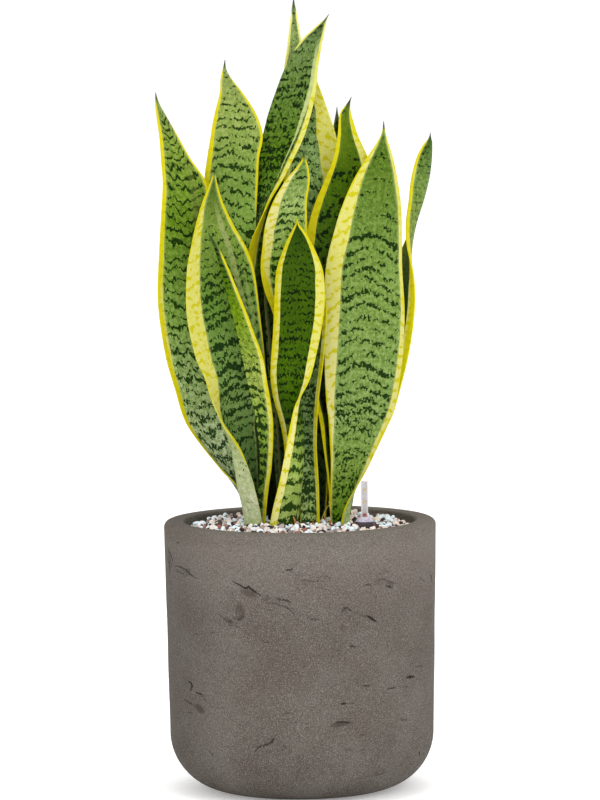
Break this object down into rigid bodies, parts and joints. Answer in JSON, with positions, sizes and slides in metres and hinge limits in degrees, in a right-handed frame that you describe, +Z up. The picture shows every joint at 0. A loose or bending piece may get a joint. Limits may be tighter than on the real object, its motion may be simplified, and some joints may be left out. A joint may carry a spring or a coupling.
{
  "type": "potted laurentii snake plant",
  "caption": "Upright variegated snake plant with yellow-edged strap leaves in a round-footed fibre clay pot, with a mineral grain top layer and a float water gauge.",
  "frame": {"origin": "middle of the flat foot of the pot, on the surface that it stands on", "axes": "+Z up along the pot's axis, -Y towards the viewer of the picture, +X to the right"},
  "size_m": [0.2542, 0.25, 0.727],
  "materials": {
    "clay": "matte",
    "mineral": "matte",
    "root": "matte",
    "leaf": "satin",
    "dark_plastic": "satin",
    "clear_plastic": "gloss",
    "foam": "matte",
    "red_plastic": "satin"
  },
  "bodies": {
    "planter": {"pot": "clay", "substrate": "mineral", "rhizome": "root", "leaf_left_outer": "leaf", "leaf_left_back": "leaf", "leaf_left_front": "leaf", "leaf_front_small": "leaf", "leaf_back_top": "leaf", "leaf_centre_top": "leaf", "leaf_centre_back": "leaf", "leaf_centre_mid": "leaf", "leaf_front_centre": "leaf", "leaf_front_right": "leaf", "leaf_right_front": "leaf", "leaf_right_mid": "leaf", "leaf_right_back": "leaf", "leaf_right_outer": "leaf", "leaf_rear_left": "leaf", "leaf_rear_centre": "leaf", "leaf_rear_right": "leaf", "gauge_sleeve": "dark_plastic", "gauge_tube": "clear_plastic"},
    "float": {"gauge_float": "foam", "gauge_pointer": "red_plastic"}
  },
  "joints": [
    {"name": "float_rise", "type": "slide", "parent": "planter", "child": "float", "axis": [0, 0, 1], "range_m": [0, 0.028]}
  ]
}
